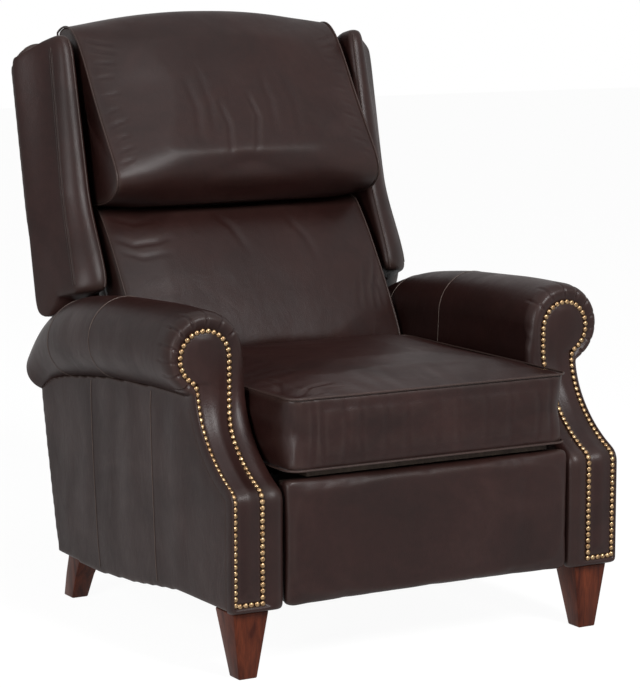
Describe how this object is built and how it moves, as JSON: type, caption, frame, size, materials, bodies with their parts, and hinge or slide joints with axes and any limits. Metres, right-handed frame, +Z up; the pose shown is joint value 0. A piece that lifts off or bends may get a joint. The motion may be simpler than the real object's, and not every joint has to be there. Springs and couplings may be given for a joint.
{
  "type": "wingback recliner",
  "caption": "Push-back wingback recliner with rolled, nail-trimmed arms, head pillow, lumbar cushion, box seat, swing-out footrest and tapered wooden legs.",
  "frame": {"origin": "on the floor, under the middle of the chair's footprint", "axes": "+Z up, -Y the way the sitter faces, +X towards the sitter's left hand"},
  "size_m": [0.8694, 0.8748, 1.0742],
  "materials": {
    "leather": "satin",
    "frame_wood": "matte",
    "leg_wood": "satin",
    "mechanism_steel": "satin",
    "spring_steel": "satin",
    "nail_brass": "satin"
  },
  "bodies": {
    "base": {"arm_outside_panel_left": "leather", "arm_outside_panel_right": "leather", "arm_inside_panel_left": "leather", "arm_inside_panel_right": "leather", "arm_roll_pad_left": "leather", "arm_roll_pad_right": "leather", "arm_front_border_left": "leather", "arm_front_border_right": "leather", "arm_front_facing_left": "leather", "arm_front_facing_right": "leather", "nail_trim_left": "nail_brass", "nail_trim_right": "nail_brass", "arm_rear_strip_left": "leather", "arm_rear_strip_right": "leather", "arm_stump_left": "frame_wood", "arm_stump_right": "frame_wood", "rear_post_left": "frame_wood", "rear_post_right": "frame_wood", "side_rail_left": "frame_wood", "side_rail_right": "frame_wood", "rear_rail": "frame_wood", "base_rear_cover": "leather", "front_leg_left": "leg_wood", "front_leg_right": "leg_wood", "rear_leg_left": "leg_wood", "rear_leg_right": "leg_wood", "mechanism_plate_left": "mechanism_steel", "mechanism_plate_right": "mechanism_steel"},
    "back": {"outside_back_cover": "leather", "back_stile_left": "frame_wood", "back_stile_right": "frame_wood", "back_lower_rail": "frame_wood", "back_upper_rail": "frame_wood", "back_bracket_left": "mechanism_steel", "back_bracket_right": "mechanism_steel", "wing_left": "leather", "wing_right": "leather", "back_springs": "spring_steel", "lumbar_cushion": "leather", "head_pillow": "leather"},
    "seat": {"seat_side_rail_left": "frame_wood", "seat_side_rail_right": "frame_wood", "seat_front_rail": "frame_wood", "seat_rear_rail": "frame_wood", "seat_slide_bar_left": "mechanism_steel", "seat_slide_bar_right": "mechanism_steel", "seat_front_deck": "frame_wood", "seat_springs": "spring_steel", "seat_cushion": "leather"},
    "rear_links": {"rear_link_left": "mechanism_steel", "rear_link_right": "mechanism_steel", "torque_tube": "mechanism_steel"},
    "front_links": {"front_link_left": "mechanism_steel", "front_link_right": "mechanism_steel"},
    "couplers": {"coupler_left": "mechanism_steel", "coupler_right": "mechanism_steel"},
    "footrest": {"footrest_board": "frame_wood", "footrest_bracket_left": "mechanism_steel", "footrest_bracket_right": "mechanism_steel", "footrest_pad": "leather"}
  },
  "joints": [
    {"name": "back_recline", "type": "hinge", "parent": "base", "child": "back", "pos_m": [0, 0.25, 0.322], "axis": [-1, 0, 0], "range_deg": [0, 30]},
    {"name": "seat_slide", "type": "slide", "parent": "base", "child": "seat", "axis": [0, -1, 0], "range_m": [0, 0.05]},
    {"name": "footrest_swing", "type": "hinge", "parent": "base", "child": "rear_links", "pos_m": [0, -0.18, 0.2568], "axis": [-1, 0, 0], "range_deg": [0, 120]},
    {"name": "front_link_swing", "type": "hinge", "parent": "base", "child": "front_links", "pos_m": [0, -0.25824, 0.29001], "axis": [-1, 0, 0], "range_deg": [0, 120]},
    {"name": "coupler_fold", "type": "hinge", "parent": "rear_links", "child": "couplers", "pos_m": [0, -0.0975, 0.11391], "axis": [-1, 0, 0], "range_deg": [-120, 0]},
    {"name": "footrest_tilt", "type": "hinge", "parent": "couplers", "child": "footrest", "pos_m": [0, -0.38, 0.232], "axis": [-1, 0, 0], "range_deg": [0, 80]}
  ],
  "couplings": [
    {"joint": "seat_slide", "follows": "back_recline", "m_per_rad": 0.0954},
    {"joint": "front_link_swing", "follows": "footrest_swing", "ratio": 1},
    {"joint": "coupler_fold", "follows": "footrest_swing", "ratio": -1},
    {"joint": "footrest_tilt", "follows": "footrest_swing", "ratio": 0.6666}
  ]
}
